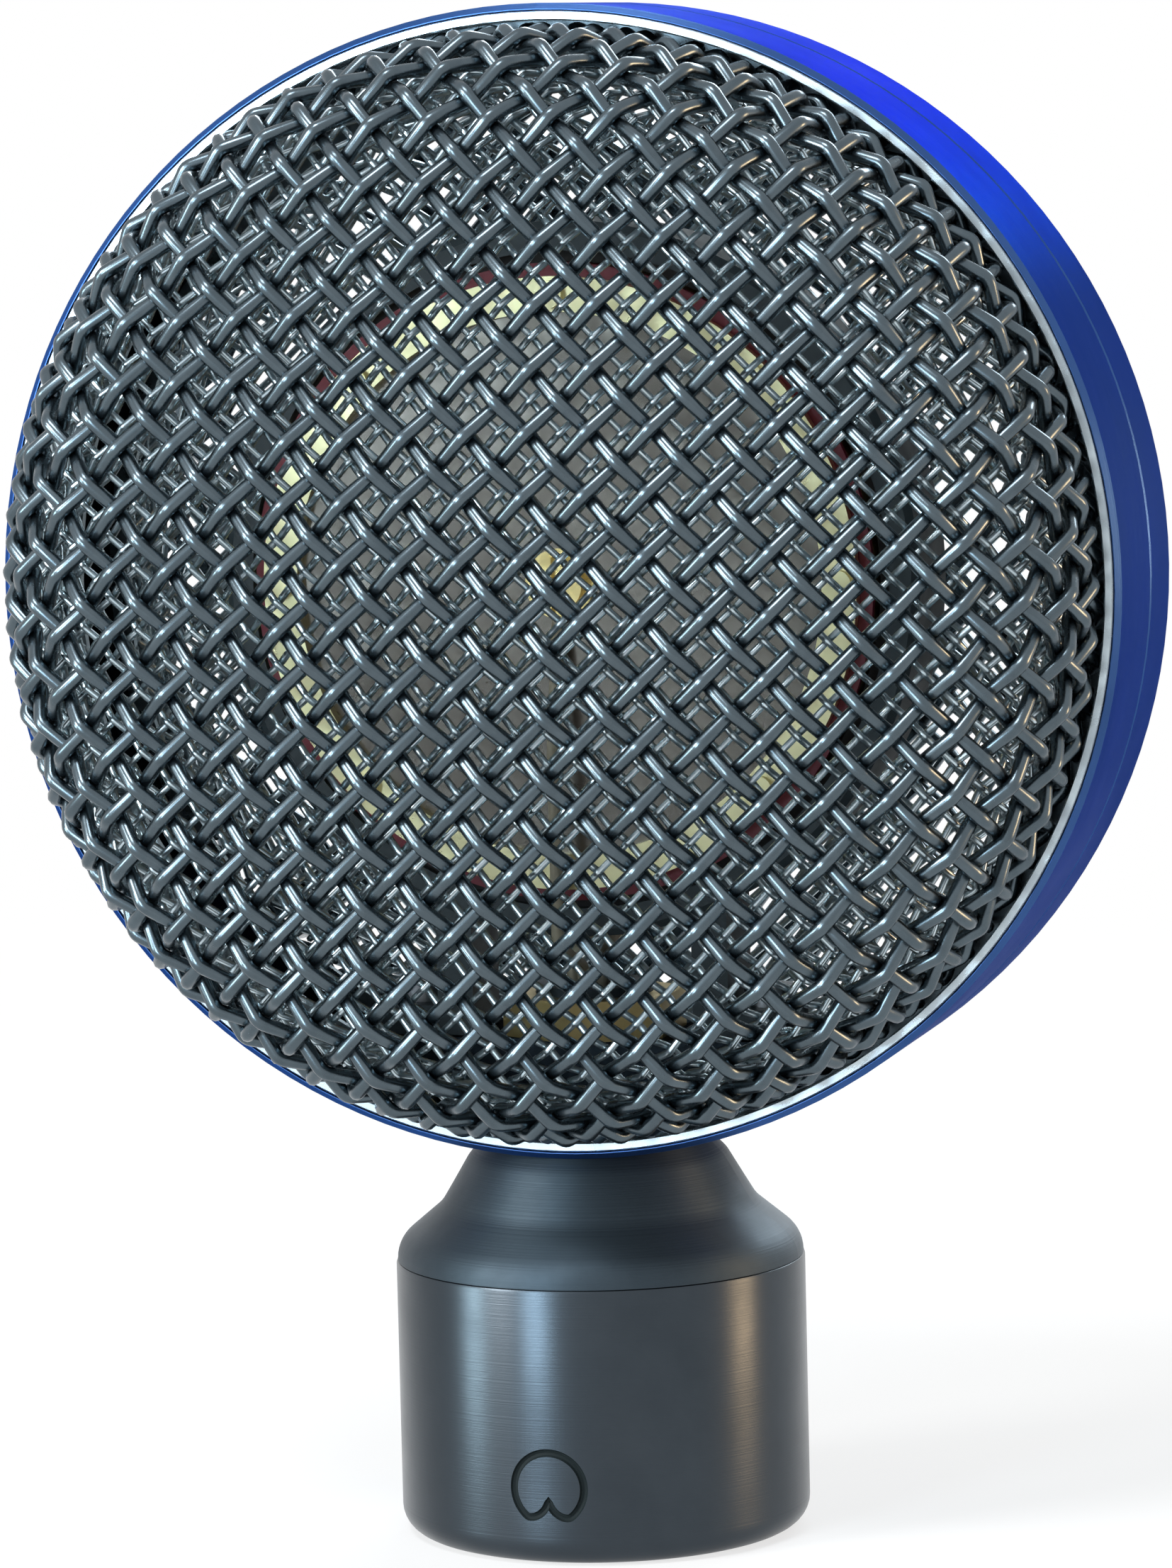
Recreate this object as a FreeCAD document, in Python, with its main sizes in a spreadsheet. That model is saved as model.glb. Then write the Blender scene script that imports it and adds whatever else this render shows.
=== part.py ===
import FreeCAD, Part
import Sketcher
import math
import os

os.makedirs("parts", exist_ok=True)
doc = FreeCAD.newDocument("capsule_head")
dims = doc.addObject("Spreadsheet::Sheet", "dims")

# Driving dimensions in millimetres. Depths are measured from the middle plane of the head and
# radii of head pieces from its front-to-back axis. A rise is measured up from the collar's top.
SIZES = {
    "head_radius": 31.0,
    "ring_half_width": 7.1,
    "ring_wall": 2.4,
    "rim_wall": 0.35,
    "mesh_seat_depth": 3.5,
    "ring_edge": 0.3,
    "turned_line_place": 1.4,
    "turned_line_width": 0.5,
    "turned_line_depth": 0.15,
    "boss_half_length": 11.5,
    "boss_half_width": 3.4,
    "boss_rise": 3.6,
    "boss_root": 0.15,
    "bezel_wall": 0.52,
    "bezel_edge": 0.08,
    "thread_gap": 0.05,
    "coarse_layer": 0.7,
    "coarse_brim": 1.0,
    "coarse_slots": 9,
    "coarse_pitch": 6.2,
    "coarse_wire": 1.4,
    "dome_gap": 1.0,
    "dome_rise": 12.0,
    "crown_radius": 115.0,
    "shoulder_radius": 8.5,
    "brim_gap": 0.1,
    "mesh_gap": 0.3,
    "fine_wall": 0.7,
    "fine_brim": 0.5,
    "capsule_space": 11.4,
    "spacer_half": 0.6,
    "spacer_bore": 3.0,
    "backplate_thickness": 3.7,
    "backplate_inset": 0.2,
    "backplate_hole_radius": 0.6,
    "backplate_hole_depth": 2.5,
    "backplate_inner_count": 6,
    "backplate_outer_count": 12,
    "insulator_thickness": 0.5,
    "insulator_reach": 0.6,
    "diaphragm_gap": 0.1,
    "diaphragm_thickness": 0.1,
    "clamp_inset": 0.7,
    "clamp_width": 1.9,
    "clamp_thickness": 0.8,
    "clamp_screw_count": 8,
    "clamp_screw_radius": 0.4,
    "clamp_screw_reach": 2.7,
    "clamp_head_radius": 0.75,
    "clamp_head_height": 0.5,
    "screw_gap": 0.05,
    "terminal_radius": 0.8,
    "terminal_reach": 3.0,
    "terminal_head_radius": 1.5,
    "terminal_head_height": 1.0,
    "terminal_slot_width": 0.35,
    "terminal_slot_depth": 0.4,
    "washer_radius": 1.9,
    "washer_thickness": 0.3,
    "cushion_wall": 0.6,
    "cushion_half_width": 3.0,
    "mount_wall": 1.6,
    "mount_half_width": 3.6,
    "mount_edge": 0.4,
    "leg_inside": 6.2,
    "leg_thickness": 2.0,
    "leg_half_width": 2.6,
    "leg_overlap": 0.9,
    "tab_length": 3.2,
    "tab_thickness": 1.6,
    "lead_slot": 1.6,
    "mount_screw_place": 9.9,
    "mount_screw_radius": 0.9,
    "mount_screw_reach": 1.9,
    "mount_head_radius": 1.4,
    "mount_head_height": 1.1,
    "collar_radius": 11.25,
    "collar_height": 15.1,
    "collar_foot_round": 1.5,
    "collar_edge": 0.15,
    "body_bore_radius": 8.5,
    "body_bore_depth": 6.5,
    "body_bore_chamfer": 0.4,
    "thread_relief_radius": 8.9,
    "thread_relief_height": 1.5,
    "socket_radius": 9.4,
    "socket_gap": 0.05,
    "insulator_disc_thickness": 2.0,
    "neck_rise": 6.4,
    "neck_wall": 1.75,
    "neck_step": 0.08,
    "neck_shoulder_rise": 0.95,
    "neck_shoulder_round": 1.9,
    "neck_flank_radius": 8.7,
    "neck_flank_rise": 3.0,
    "neck_flank_round": 2.0,
    "neck_throat_radius": 7.1,
    "neck_throat_rise": 5.7,
    "neck_throat_round": 2.0,
    "neck_top_radius": 6.2,
    "neck_top_rise": 6.6,
    "neck_roof_rise": 3.9,
    "neck_cavity_rise": 0.9,
    "spigot_radius": 3.2,
    "spigot_gap": 0.05,
    "wire_bore_radius": 2.2,
    "nut_half_flats": 4.5,
    "nut_height": 2.2,
    "spigot_stand": 0.5,
    "pin_radius": 0.6,
    "pin_circle": 4.5,
    "pin_count": 3,
    "pin_below": 1.2,
    "pin_above": 1.8,
    "lead_radius": 0.35,
    "lead_circle": 1.2,
    "lead_stand": 0.6,
    "lead_bend": 0.9,
    "lead_gap": 0.05,
    "lead_clearance": 1.0,
    "cut_margin": 1.0,
}


class Size:
    """A length together with the sheet expression that gives it."""

    def __init__(self, number, text):
        self.number = number
        self.text = text

    def joined(self, other, sign, number):
        return Size(number, f"({self.text} {sign} {other.text})")

    def __add__(self, other):
        other = as_size(other)
        return self.joined(other, "+", self.number + other.number)

    def __sub__(self, other):
        other = as_size(other)
        return self.joined(other, "-", self.number - other.number)

    def __mul__(self, other):
        other = as_size(other)
        return self.joined(other, "*", self.number * other.number)

    def __truediv__(self, other):
        other = as_size(other)
        return self.joined(other, "/", self.number / other.number)

    def __neg__(self):
        return Size(-self.number, f"(-1 * {self.text})")

    def root(self):
        return Size(math.sqrt(self.number), f"sqrt({self.text})")

    def side_of(self, hypotenuse):
        """The other short side of a right-angled triangle with this side and that hypotenuse."""
        return (hypotenuse * hypotenuse - self * self).root()


def as_size(value):
    return value if isinstance(value, Size) else Size(float(value), str(value))


def fill_sheet():
    for row, (name, value) in enumerate(SIZES.items(), start=1):
        dims.set(f"A{row}", name)
        dims.set(f"B{row}", str(value))
        dims.setAlias(f"B{row}", name)
    doc.recompute()


def size(name):
    return Size(float(getattr(dims, name)), f"dims.{name}")


def new_body(label, in_head):
    """A new piece, drawn about the head's centre or, outside the head, up from the foot."""
    body = doc.addObject("PartDesign::Body", label)
    body.Label = label
    if in_head:
        body.setExpression("Placement.Base.z", head_height.text)
    return body


def new_sketch(body, name, plane):
    sketch = body.newObject("Sketcher::SketchObject", name)
    support = [item for item in body.Origin.OriginFeatures if item.Role == plane][0]
    sketch.AttachmentSupport = [(support, "")]
    sketch.MapMode = "FlatFace"
    return sketch


def bind(sketch, kind, first, second, length):
    """Holds point second at a signed distance from point first along one axis of the sketch."""
    if length.number < 0:
        first, second = second, first
        length = -length
    index = sketch.addConstraint(Sketcher.Constraint(kind, *first, *second, length.number))
    sketch.setExpression(f"Constraints[{index}]", length.text)


def pin_point(sketch, point, x, y, held="xy"):
    """Ties a sketch point to its place, with zero distances held on the sketch's own axes."""
    origin = (-1, 1)
    for letter, kind, length, axis in (("x", "DistanceX", x, -2), ("y", "DistanceY", y, -1)):
        if letter not in held:
            continue
        if length.text == "0":
            sketch.addConstraint(Sketcher.Constraint("PointOnObject", *point, axis))
        else:
            bind(sketch, kind, origin, point, length)


def vector(x, y):
    return FreeCAD.Vector(x.number, y.number, 0)


def arc_between(start, end, centre):
    """The shorter arc from start to end round centre, and whether it runs clockwise."""
    first = math.atan2(start.y - centre.y, start.x - centre.x)
    last = math.atan2(end.y - centre.y, end.x - centre.x)
    turn = (last - first) % (2 * math.pi)
    clockwise = turn > math.pi
    if clockwise:
        first, last = last, first
    circle = Part.Circle(centre, FreeCAD.Vector(0, 0, 1), (start - centre).Length)
    return Part.ArcOfCircle(circle, first, last), clockwise


def draw_outline(sketch, corners):
    """Draws a closed outline. A corner is (x, y), or (x, y, centre x, centre y, held) where an arc
    about that centre leads on to the next corner, whose own held letters say what else ties it."""
    corners = [[as_size(part) if not isinstance(part, str) else part for part in corner]
               for corner in corners]
    ends = []
    for index, corner in enumerate(corners):
        following = corners[(index + 1) % len(corners)]
        start = vector(corner[0], corner[1])
        end = vector(following[0], following[1])
        if len(corner) >= 4:
            centre = vector(corner[2], corner[3])
            shape, clockwise = arc_between(start, end, centre)
            edge = sketch.addGeometry(shape, False)
            ends.append((edge, 2, 1) if clockwise else (edge, 1, 2))
        else:
            edge = sketch.addGeometry(Part.LineSegment(start, end), False)
            ends.append((edge, 1, 2))
    for index, corner in enumerate(corners):
        edge, first, _ = ends[index]
        before, _, last = ends[index - 1]
        sketch.addConstraint(Sketcher.Constraint("Coincident", before, last, edge, first))
        held = corner[-1] if isinstance(corner[-1], str) else "xy"
        pin_point(sketch, (edge, first), corner[0], corner[1], held)
        if len(corner) >= 4:
            pin_point(sketch, (edge, 3), corner[2], corner[3])


def direction(start, end):
    across = end[0] - start[0]
    up = end[1] - start[1]
    length = (across * across + up * up).root()
    return across / length, up / length


def rounded(before, corner, after, radius):
    """Two outline corners in place of one, joined by an arc of that radius that meets both sides."""
    back = direction(corner, before)
    on = direction(corner, after)
    cosine = back[0] * on[0] + back[1] * on[1]
    cut = radius * ((cosine + 1) / (as_size(1) - cosine)).root()
    reach = radius / (as_size(1) - cosine * cosine).root()
    centre = (corner[0] + (back[0] + on[0]) * reach, corner[1] + (back[1] + on[1]) * reach)
    start = (corner[0] + back[0] * cut, corner[1] + back[1] * cut)
    end = (corner[0] + on[0] * cut, corner[1] + on[1] * cut)
    held = "x" if abs(on[0].number) > abs(on[1].number) else "y"
    return [start + centre + ("xy",), end + (held,)]


def draw_circle(sketch, x, y, radius):
    x, y = as_size(x), as_size(y)
    circle = Part.Circle(vector(x, y), FreeCAD.Vector(0, 0, 1), radius.number)
    edge = sketch.addGeometry(circle, False)
    pin_point(sketch, (edge, 3), x, y)
    index = sketch.addConstraint(Sketcher.Constraint("Radius", edge, radius.number))
    sketch.setExpression(f"Constraints[{index}]", radius.text)


def rectangle(left, right, low, high):
    return [(left, low), (right, low), (right, high), (left, high)]


def revolve(body, name, corners, plane="YZ_Plane", axis="H_Axis"):
    sketch = new_sketch(body, f"{name}_outline", plane)
    draw_outline(sketch, corners)
    turned = body.newObject("PartDesign::Revolution", name)
    turned.Profile = sketch
    turned.ReferenceAxis = (sketch, [axis])
    turned.Angle = 360
    doc.recompute()
    return turned


def extrude(body, kind, name, sketch, length, symmetric=False, reverse=False):
    feature = body.newObject(kind, name)
    feature.Profile = sketch
    feature.SideType = "Symmetric" if symmetric else "One side"
    feature.Reversed = reverse
    feature.setExpression("Length", length.text)
    doc.recompute()
    return feature


def round_pattern(body, name, feature, axis_role, count):
    pattern = body.newObject("PartDesign::PolarPattern", name)
    pattern.Originals = [feature]
    axis = [item for item in body.Origin.OriginFeatures if item.Role == axis_role][0]
    pattern.Axis = (axis, [""])
    pattern.Angle = 360
    pattern.setExpression("Occurrences", as_size(count).text)
    body.Tip = pattern
    doc.recompute()
    return pattern


fill_sheet()
parts = []

margin = size("cut_margin")
collar_height = size("collar_height")
head_radius = size("head_radius")
head_height = collar_height + size("neck_rise") + head_radius
ring_half_width = size("ring_half_width")
ring_bore = head_radius - size("ring_wall")
seat_radius = head_radius - size("rim_wall")
mesh_seat = ring_half_width - size("mesh_seat_depth")
fine_brim_top = mesh_seat + size("fine_brim")
coarse_brim_top = fine_brim_top + size("coarse_brim")
boss_top = ring_bore - size("boss_rise")
dome_radius = head_radius - size("dome_gap")
capsule_radius = ring_bore - size("capsule_space")
cushion_radius = capsule_radius + size("cushion_wall")
mount_radius = cushion_radius + size("mount_wall")
spigot_hole = size("spigot_radius") + size("spigot_gap")
mount_screw_hole = size("mount_screw_radius") + size("screw_gap")


def head_ring():
    """The turned housing ring, with a seat for the meshes on both sides, a fine turned line and a
    flat boss inside its lowest point for the neck's nut and the mount's feet."""
    body = new_body("head_ring", True)
    edge = size("ring_edge")
    line = size("turned_line_place")
    half_line = size("turned_line_width") / 2
    line_floor = head_radius - size("turned_line_depth")
    revolve(body, "ring_turning", [
        (-ring_half_width, seat_radius),
        (-ring_half_width, head_radius - edge),
        (edge - ring_half_width, head_radius),
        (line - half_line, head_radius),
        (line, line_floor),
        (line + half_line, head_radius),
        (ring_half_width - edge, head_radius),
        (ring_half_width, head_radius - edge),
        (ring_half_width, seat_radius),
        (mesh_seat, seat_radius),
        (mesh_seat, ring_bore),
        (-mesh_seat, ring_bore),
        (-mesh_seat, seat_radius),
    ])
    half = size("boss_half_length")
    block = new_sketch(body, "boss_outline", "XZ_Plane")
    draw_outline(block, rectangle(-half, half, -(ring_bore + size("boss_root")), -boss_top))
    extrude(body, "PartDesign::Pad", "boss", block, size("boss_half_width") * 2, symmetric=True)
    hole = new_sketch(body, "spigot_hole_outline", "XY_Plane")
    draw_circle(hole, 0, 0, spigot_hole)
    extrude(body, "PartDesign::Pocket", "spigot_hole", hole, head_radius + margin)
    screws = new_sketch(body, "mount_screw_hole_outline", "XY_Plane")
    draw_circle(screws, size("mount_screw_place"), 0, mount_screw_hole)
    draw_circle(screws, -size("mount_screw_place"), 0, mount_screw_hole)
    depth = boss_top + size("mount_screw_reach") + size("screw_gap")
    body.Tip = extrude(body, "PartDesign::Pocket", "mount_screw_holes", screws, depth)
    parts.append(body)


def bezel(label, side):
    """The silver lip: a thin ring screwed into the rim, which presses the mesh brims down and
    shows its face between the mesh and the rim's bevel."""
    body = new_body(label, True)
    edge = size("bezel_edge")
    outside = seat_radius - size("thread_gap")
    inside = outside - size("bezel_wall")
    outline = [
        (coarse_brim_top, inside),
        (ring_half_width - edge, inside),
        (ring_half_width, inside + edge),
        (ring_half_width, outside - edge),
        (ring_half_width - edge, outside),
        (coarse_brim_top, outside),
    ]
    revolve(body, "bezel_turning", [(depth * side, radius) for depth, radius in outline])
    parts.append(body)


def dome_outline(inset, thickness, foot, side):
    """The section of a domed wall: a wide crown arc that runs into a shoulder arc and a short
    skirt. The inset is how far its outer face lies inside the coarse mesh's outer face."""
    crown = size("crown_radius")
    shoulder = size("shoulder_radius")
    shoulder_place = dome_radius - shoulder
    crown_centre = ring_half_width + size("dome_rise") - crown
    shoulder_depth = crown_centre + shoulder_place.side_of(crown - shoulder)
    crown_middle = (crown_centre, 0)
    shoulder_middle = (shoulder_depth, shoulder_place)

    def face(drop):
        """The apex, the joint of the two arcs, the waist and the foot of one face of the wall."""
        reach = (crown - drop) / (crown - shoulder)
        joint = (crown_centre + (shoulder_depth - crown_centre) * reach, shoulder_place * reach)
        edge = dome_radius - drop
        return (crown_centre + crown - drop, 0), joint, (shoulder_depth, edge), (foot, edge)

    outer_apex, outer_joint, outer_waist, outer_foot = face(inset)
    inner_apex, inner_joint, inner_waist, inner_foot = face(inset + thickness)
    outline = [
        outer_apex + crown_middle + ("xy",),
        outer_joint + shoulder_middle + ("x",),
        outer_waist + ("x",),
        outer_foot,
        inner_foot,
        inner_waist + shoulder_middle + ("x",),
        inner_joint + crown_middle + ("x",),
        inner_apex,
    ]
    return [facing(corner, side) for corner in outline]


def facing(corner, side):
    """An outline corner that was drawn for the rear, turned to the front where side is -1."""
    return tuple(part if isinstance(part, str) or place % 2 else as_size(part) * side
                 for place, part in enumerate(corner))


def brim(body, name, bottom, top, inside, side):
    outside = seat_radius - size("brim_gap")
    outline = rectangle(bottom * side, top * side, inside, outside)
    return revolve(body, name, outline)


def slotted_layer(label, inset, side, turn):
    """One layer of the coarse mesh: a domed wall with a row of slots cut through it, which
    leaves parallel ridges. Two of these, turned a quarter, make the crossing wires."""
    body = new_body(label, True)
    revolve(body, "dome", dome_outline(inset, size("coarse_layer"), fine_brim_top, side))
    sketch = new_sketch(body, "slot_outline", "XZ_Plane")
    sketch.AttachmentOffset = FreeCAD.Placement(
        FreeCAD.Vector(0, 0, 0), FreeCAD.Rotation(FreeCAD.Vector(0, 0, 1), turn))
    pitch = size("coarse_pitch")
    count = size("coarse_slots")
    half_slot = (pitch - size("coarse_wire")) / 2
    span = pitch * (count - 1)
    first = -(span / 2)
    reach = dome_radius + margin
    draw_outline(sketch, rectangle(first - half_slot, first + half_slot, -reach, reach))
    length = ring_half_width + size("dome_rise") + margin
    slot = extrude(body, "PartDesign::Pocket", "slot", sketch, length, reverse=side < 0)
    pattern = body.newObject("PartDesign::LinearPattern", "slots")
    pattern.Originals = [slot]
    pattern.Direction = (sketch, ["H_Axis"])
    pattern.setExpression("Occurrences", count.text)
    pattern.setExpression("Length", span.text)
    body.Tip = pattern
    doc.recompute()
    return body


def outer_mesh(label, side):
    """The coarse mesh: ridges crossing at right angles with open gaps between, on a flat brim."""
    turn = 45 * side
    front = slotted_layer(f"{label}_front_wires", as_size(0), side, turn)
    back = slotted_layer(f"{label}_back_wires", size("coarse_layer"), side, turn + 90)
    rim = new_body(f"{label}_rim", True)
    inside = dome_radius - size("coarse_layer") * 2
    rim.Tip = brim(rim, "rim", fine_brim_top, coarse_brim_top, inside, side)
    mesh = doc.addObject("Part::MultiFuse", label)
    mesh.Label = label
    mesh.Shapes = [front, back, rim]
    doc.recompute()
    parts.append(mesh)


def inner_mesh(label, side):
    """The fine mesh, a second dome close behind the coarse one. Its weave is left plain here."""
    body = new_body(label, True)
    inset = size("coarse_layer") * 2 + size("mesh_gap")
    revolve(body, "dome", dome_outline(inset, size("fine_wall"), mesh_seat, side))
    inside = dome_radius - inset - size("fine_wall")
    body.Tip = brim(body, "brim", mesh_seat, fine_brim_top, inside, side)
    parts.append(body)


spacer_half = size("spacer_half")
backplate_face = spacer_half + size("backplate_thickness")
insulator_face = backplate_face + size("insulator_thickness")
diaphragm_face = insulator_face + size("diaphragm_thickness")
clamp_face = diaphragm_face + size("clamp_thickness")
washer_face = diaphragm_face + size("washer_thickness")
clamp_screw_hole = size("clamp_screw_radius") + size("screw_gap")
terminal_hole = size("terminal_radius") + size("screw_gap")
clamp_screw_count = size("clamp_screw_count")
clamp_outside = capsule_radius - size("clamp_inset")
clamp_inside = clamp_outside - size("clamp_width")
clamp_screw_circle = (clamp_inside + clamp_outside) / 2


def drilled_ring(body, side, radius, circle, depth, reach, count, name):
    """Drills a circle of holes from a face at that depth, as far back as reach."""
    sketch = new_sketch(body, f"{name}_outline", "XZ_Plane")
    draw_circle(sketch, 0, circle, radius)
    offset = (depth - reach) * -side
    sketch.setExpression("AttachmentOffset.Base.z", offset.text)
    hole = extrude(body, "PartDesign::Pocket", name, sketch, reach + margin, reverse=side < 0)
    return round_pattern(body, f"{name}_circle", hole, "Y_Axis", count)


def centre_spacer():
    body = new_body("centre_spacer", True)
    outline = rectangle(-spacer_half, spacer_half, size("spacer_bore"), capsule_radius)
    revolve(body, "disc", outline)
    parts.append(body)


def backplate(label, side):
    """The brass backplate, with tapped holes for screws and two circles of blind acoustic holes
    that part the span between the terminal's washer and the clamp ring in three."""
    body = new_body(label, True)
    radius = capsule_radius - size("backplate_inset")
    terminal_floor = diaphragm_face - size("terminal_reach") - size("screw_gap")
    outline = [
        (spacer_half, 0),
        (spacer_half, radius),
        (backplate_face, radius),
        (backplate_face, terminal_hole),
        (terminal_floor, terminal_hole),
        (terminal_floor, 0),
    ]
    revolve(body, "disc", [(as_size(depth) * side, rise) for depth, rise in outline])
    reach = size("backplate_hole_depth")
    hole = size("backplate_hole_radius")
    step = (clamp_inside - size("washer_radius")) / 3
    inner = size("washer_radius") + step
    outer = inner + step
    drilled_ring(body, side, hole, inner, backplate_face, reach, size("backplate_inner_count"), "inner_holes")
    drilled_ring(body, side, hole, outer, backplate_face, reach, size("backplate_outer_count"), "outer_holes")
    tapped_depth = size("clamp_screw_reach") + size("screw_gap") - (clamp_face - backplate_face)
    drilled_ring(body, side, clamp_screw_hole, clamp_screw_circle, backplate_face,
                 tapped_depth, clamp_screw_count, "tapped_holes")
    parts.append(body)


def drilled_washer(label, side, low, high, inside, outside):
    """A flat ring of the capsule's stack, pierced for the clamp screws."""
    body = new_body(label, True)
    revolve(body, "ring", rectangle(low * side, high * side, inside, outside))
    drilled_ring(body, side, clamp_screw_hole, clamp_screw_circle, high, high - low + margin,
                 clamp_screw_count, "screw_holes")
    parts.append(body)


def clamp_screws(label, side):
    """The small cheese-head screws that hold the clamp ring."""
    body = new_body(label, True)
    circle = clamp_screw_circle
    head = new_sketch(body, "head_outline", "XZ_Plane")
    draw_circle(head, 0, circle, size("clamp_head_radius"))
    head.setExpression("AttachmentOffset.Base.z", (clamp_face * -side).text)
    top = extrude(body, "PartDesign::Pad", "head", head, size("clamp_head_height"), reverse=side > 0)
    shank = new_sketch(body, "shank_outline", "XZ_Plane")
    draw_circle(shank, 0, circle, size("clamp_screw_radius"))
    shank.setExpression("AttachmentOffset.Base.z", (clamp_face * -side).text)
    stem = extrude(body, "PartDesign::Pad", "shank", shank, size("clamp_screw_reach"), reverse=side < 0)
    pattern = round_pattern(body, "screw_circle", top, "Y_Axis", clamp_screw_count)
    pattern.Originals = [top, stem]
    doc.recompute()
    parts.append(body)


def terminal(label, side):
    """The centre screw that takes the signal from the diaphragm."""
    body = new_body(label, True)
    outline = [
        (diaphragm_face - size("terminal_reach"), 0),
        (diaphragm_face - size("terminal_reach"), size("terminal_radius")),
        (washer_face, size("terminal_radius")),
        (washer_face, size("terminal_head_radius")),
        (washer_face + size("terminal_head_height"), size("terminal_head_radius")),
        (washer_face + size("terminal_head_height"), 0),
    ]
    revolve(body, "screw", [(as_size(depth) * side, rise) for depth, rise in outline])
    slot = new_sketch(body, "slot_outline", "XZ_Plane")
    half = size("terminal_slot_width") / 2
    reach = size("terminal_head_radius") + margin
    draw_outline(slot, rectangle(-half, half, -reach, reach))
    floor = washer_face + size("terminal_head_height") - size("terminal_slot_depth")
    slot.setExpression("AttachmentOffset.Base.z", (floor * -side).text)
    body.Tip = extrude(body, "PartDesign::Pocket", "slot", slot, size("terminal_slot_depth") + margin,
                       reverse=side < 0)
    parts.append(body)


def flat_ring(label, side, low, high, inside, outside):
    body = new_body(label, True)
    revolve(body, "ring", rectangle(low * side, high * side, inside, outside))
    parts.append(body)


def lead_slot(body, inside, outside):
    """A square notch at the lowest point, for the backplates' lead."""
    sketch = new_sketch(body, "lead_slot_outline", "XZ_Plane")
    half = size("lead_slot") / 2
    draw_outline(sketch, rectangle(-half, half, -(outside + margin), margin - inside))
    return extrude(body, "PartDesign::Pocket", "lead_slot", sketch, size("lead_slot"), symmetric=True)


def capsule_cushion():
    """The rubber band between the capsule and its mount."""
    body = new_body("capsule_cushion", True)
    half = size("cushion_half_width")
    revolve(body, "band", rectangle(-half, half, capsule_radius, cushion_radius))
    body.Tip = lead_slot(body, capsule_radius, cushion_radius)
    parts.append(body)


def capsule_mount():
    """The moulded ring round the capsule, on two legs with a screw tab at each foot."""
    body = new_body("capsule_mount", True)
    half = size("mount_half_width")
    edge = size("mount_edge")
    revolve(body, "hoop", [
        (-half, cushion_radius),
        (-half, mount_radius - edge),
        (edge - half, mount_radius),
        (half - edge, mount_radius),
        (half, mount_radius - edge),
        (half, cushion_radius),
    ])
    inside = size("leg_inside")
    outside = inside + size("leg_thickness")
    tip = outside + size("tab_length")
    top = inside.side_of(mount_radius) - size("leg_overlap")
    tab = boss_top - size("tab_thickness")
    legs = new_sketch(body, "leg_outline", "XZ_Plane")
    for way in (-1, 1):
        draw_outline(legs, [
            (inside * way, -top),
            (inside * way, -boss_top),
            (tip * way, -boss_top),
            (tip * way, -tab),
            (outside * way, -tab),
            (outside * way, -top),
        ])
    extrude(body, "PartDesign::Pad", "legs", legs, size("leg_half_width") * 2, symmetric=True)
    lead_slot(body, cushion_radius, mount_radius)
    holes = new_sketch(body, "screw_hole_outline", "XY_Plane")
    draw_circle(holes, size("mount_screw_place"), 0, mount_screw_hole)
    draw_circle(holes, -size("mount_screw_place"), 0, mount_screw_hole)
    holes.setExpression("AttachmentOffset.Base.z", (margin - tab).text)
    length = size("tab_thickness") + margin * 2
    body.Tip = extrude(body, "PartDesign::Pocket", "screw_holes", holes, length)
    parts.append(body)


def mount_screws():
    """The two round-headed screws through the mount's tabs."""
    body = new_body("mount_screws", True)
    tab_top = boss_top - size("tab_thickness")
    outline = [
        (0, -(tab_top - size("mount_head_height"))),
        (size("mount_head_radius"), -(tab_top - size("mount_head_height"))),
        (size("mount_head_radius"), -tab_top),
        (size("mount_screw_radius"), -tab_top),
        (size("mount_screw_radius"), -(boss_top + size("mount_screw_reach"))),
        (0, -(boss_top + size("mount_screw_reach"))),
    ]
    sketch = new_sketch(body, "screw_outline", "XZ_Plane")
    draw_outline(sketch, outline)
    sketch.setExpression("AttachmentOffset.Base.x", size("mount_screw_place").text)
    turned = body.newObject("PartDesign::Revolution", "screw")
    turned.Profile = sketch
    turned.ReferenceAxis = (sketch, ["V_Axis"])
    turned.Angle = 360
    doc.recompute()
    round_pattern(body, "screw_pair", turned, "Z_Axis", 2)
    parts.append(body)


disc_bottom = size("body_bore_depth") + size("thread_relief_height")
disc_top = disc_bottom + size("insulator_disc_thickness")
plug_radius = size("socket_radius") - size("socket_gap")


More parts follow.
